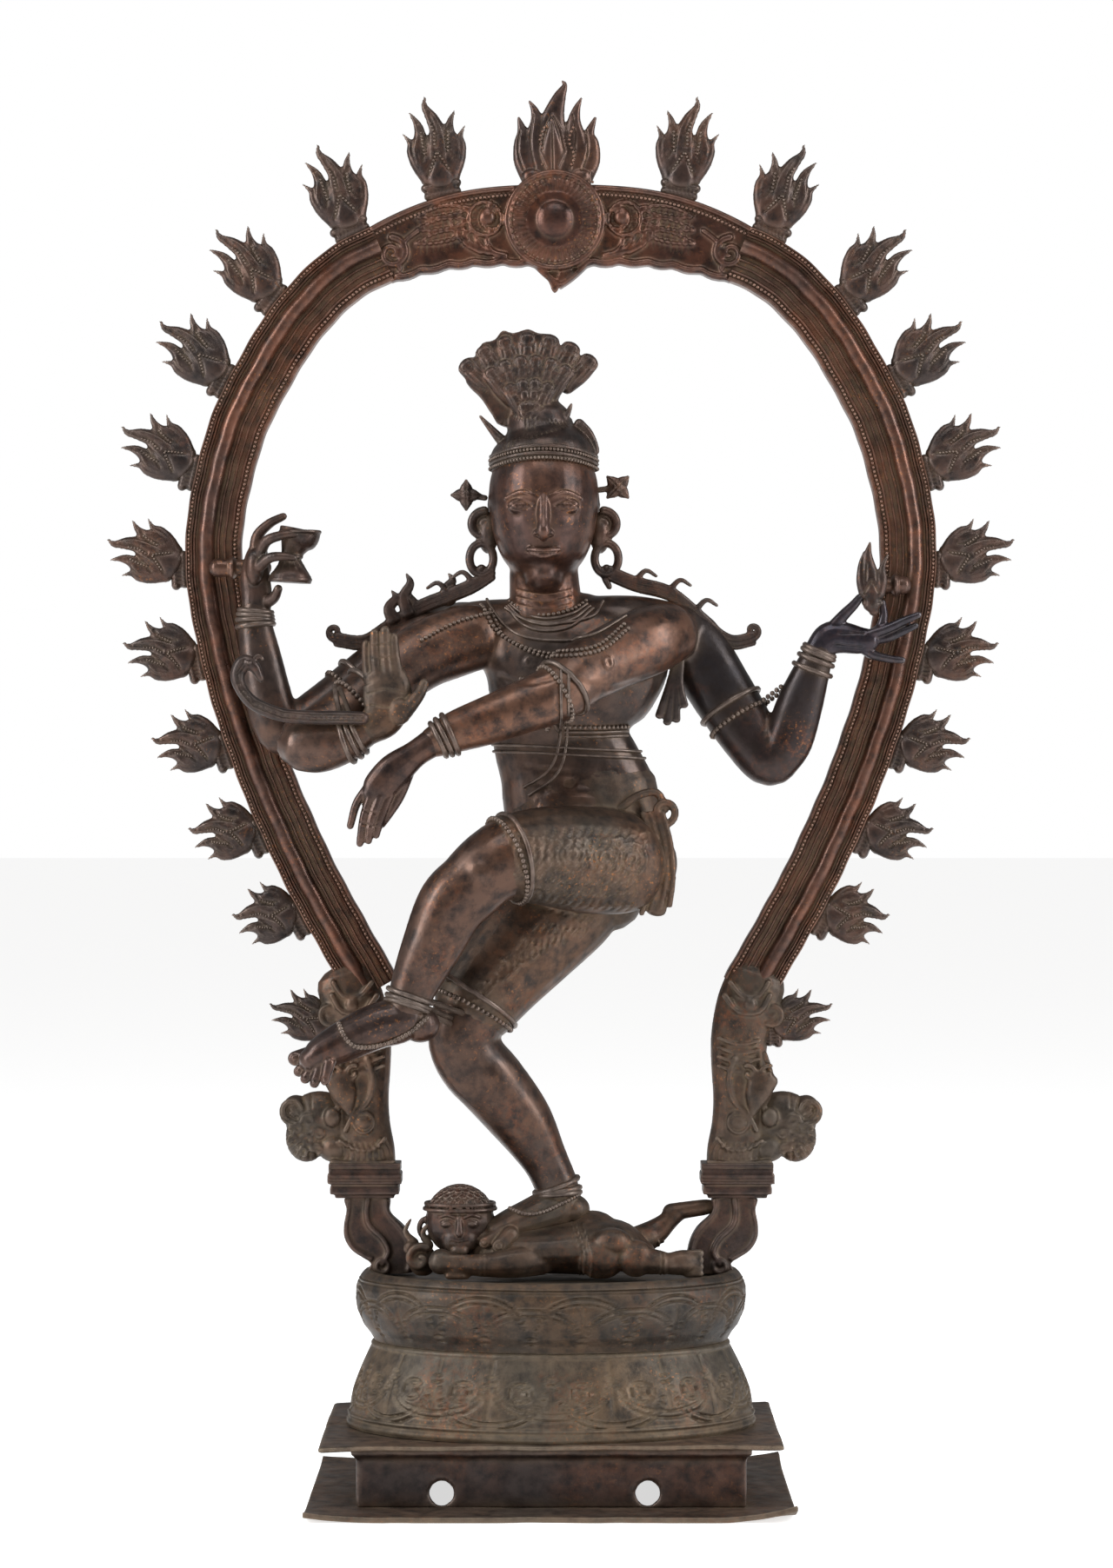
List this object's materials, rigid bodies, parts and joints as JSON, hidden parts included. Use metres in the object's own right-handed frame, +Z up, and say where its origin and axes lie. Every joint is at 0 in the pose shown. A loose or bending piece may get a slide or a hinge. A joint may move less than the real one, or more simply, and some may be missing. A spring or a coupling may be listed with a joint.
{
  "type": "nataraja statue",
  "caption": "Aged brass four-armed dancer on one leg over a prone figure, inside a tall arch of flames on a double lotus and a hollow box plinth.",
  "frame": {"origin": "on the ground, under the middle of the arch and midway between the front and back edges of the base flange", "axes": "+Z up; +X to the viewer's right when facing the statue, which is the dancer's left; the statue faces -Y"},
  "size_m": [0.673, 0.292, 1.0726],
  "materials": {
    "dark_bronze": "dark brown aged patina over cast brass, satin where handled",
    "copper_brown": "reddish copper brown patina, rubbed to a soft shine on raised parts",
    "dusty_bronze": "sandy grey-brown patina with dust in the recesses",
    "green_bronze": "greenish grey-brown patina, matt"
  },
  "bodies": {
    "root": {"arch_band_left": "copper_brown", "arch_band_right": "copper_brown", "arch_bracket_left": "dark_bronze", "arch_bracket_right": "dark_bronze", "arch_strut_left": "copper_brown", "arch_strut_right": "copper_brown", "base_flange": "dusty_bronze", "capital_left": "dark_bronze", "capital_right": "dark_bronze", "cobra": "dark_bronze", "crest_flame": "copper_brown", "crest_panel": "copper_brown", "demon_body": "green_bronze", "demon_head": "dark_bronze", "diadem": "dusty_bronze", "drum": "dark_bronze", "ear_flower_left": "dusty_bronze", "ear_flower_right": "dusty_bronze", "flame_left_01": "dark_bronze", "flame_left_02": "dark_bronze", "flame_left_03": "dark_bronze", "flame_left_04": "dark_bronze", "flame_left_05": "dark_bronze", "flame_left_06": "dark_bronze", "flame_left_07": "dark_bronze", "flame_left_08": "dark_bronze", "flame_left_09": "dark_bronze", "flame_left_10": "dark_bronze", "flame_left_11": "green_bronze", "flame_right_01": "dark_bronze", "flame_right_02": "dark_bronze", "flame_right_03": "dark_bronze", "flame_right_04": "dark_bronze", "flame_right_05": "dark_bronze", "flame_right_06": "dark_bronze", "flame_right_07": "dark_bronze", "flame_right_08": "dark_bronze", "flame_right_09": "dark_bronze", "flame_right_10": "dark_bronze", "flame_right_11": "green_bronze", "front_left_arm": "copper_brown", "front_right_arm": "dark_bronze", "hair_fan": "dark_bronze", "hand_flame": "dark_bronze", "head": "copper_brown", "hip_sash": "dark_bronze", "lotus_lower": "green_bronze", "lotus_upper": "green_bronze", "makara_left": "green_bronze", "makara_right": "green_bronze", "plinth_box": "dark_bronze", "plinth_top_plate": "dusty_bronze", "raised_leg": "copper_brown", "rear_left_arm": "dark_bronze", "rear_right_arm": "dark_bronze", "scarf_left": "dark_bronze", "scarf_right": "dark_bronze", "standing_leg": "green_bronze", "torso": "green_bronze"}
  },
  "joints": []
}
